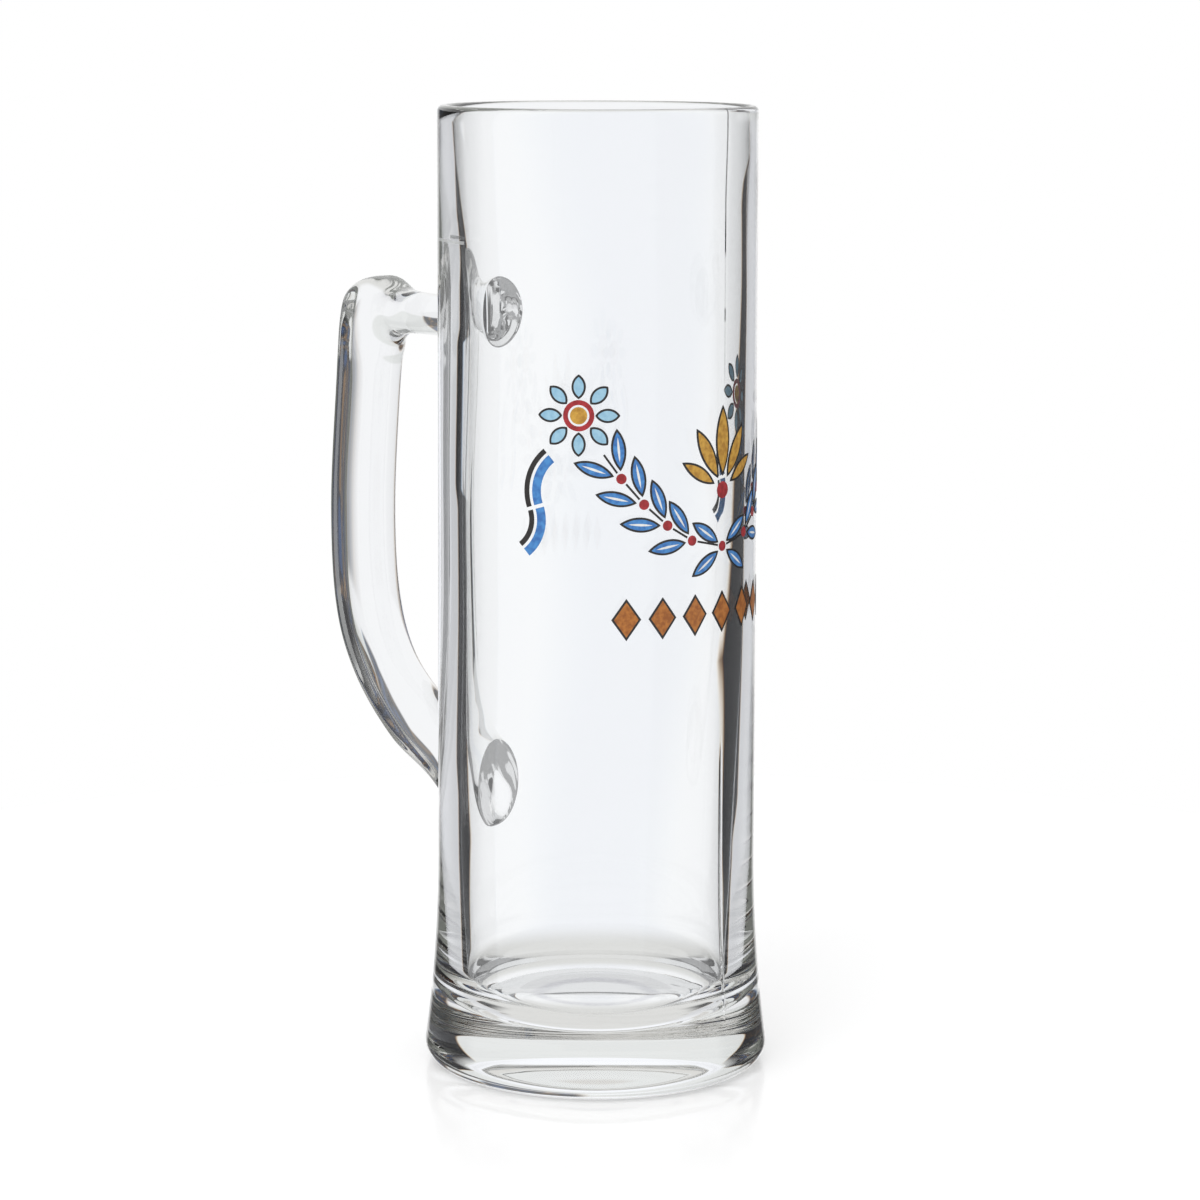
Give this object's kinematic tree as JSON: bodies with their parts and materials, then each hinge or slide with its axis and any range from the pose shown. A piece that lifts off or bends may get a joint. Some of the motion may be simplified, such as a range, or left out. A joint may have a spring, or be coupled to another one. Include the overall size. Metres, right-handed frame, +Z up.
{
  "type": "beer mug",
  "caption": "Tall straight-walled clear glass beer mug with a heavy flared foot, a welded side handle, a fired enamel garland and a fill line.",
  "frame": {"origin": "on the mug's axis at the standing plane", "axes": "+Z up along the axis, the handle along -X, the ornament centred on +X"},
  "size_m": [0.1136, 0.0756, 0.21],
  "materials": {
    "clear_glass": "polished clear soda-lime glass",
    "enamel_mark": "pale fired mark",
    "enamel_black": "fired enamel, semi-gloss",
    "enamel_blue": "fired enamel, semi-gloss",
    "enamel_sky": "fired enamel, semi-gloss",
    "enamel_red": "fired enamel, semi-gloss",
    "enamel_gold": "fired enamel, semi-gloss",
    "enamel_copper": "fired enamel, semi-gloss",
    "enamel_white": "fired enamel, semi-gloss"
  },
  "bodies": {
    "root": {"body": "clear_glass", "handle": "clear_glass", "fill_mark": "enamel_mark", "print_black": "enamel_black", "print_blue": "enamel_blue", "print_sky": "enamel_sky", "print_red": "enamel_red", "print_gold": "enamel_gold", "print_copper": "enamel_copper", "print_white": "enamel_white"}
  },
  "joints": []
}
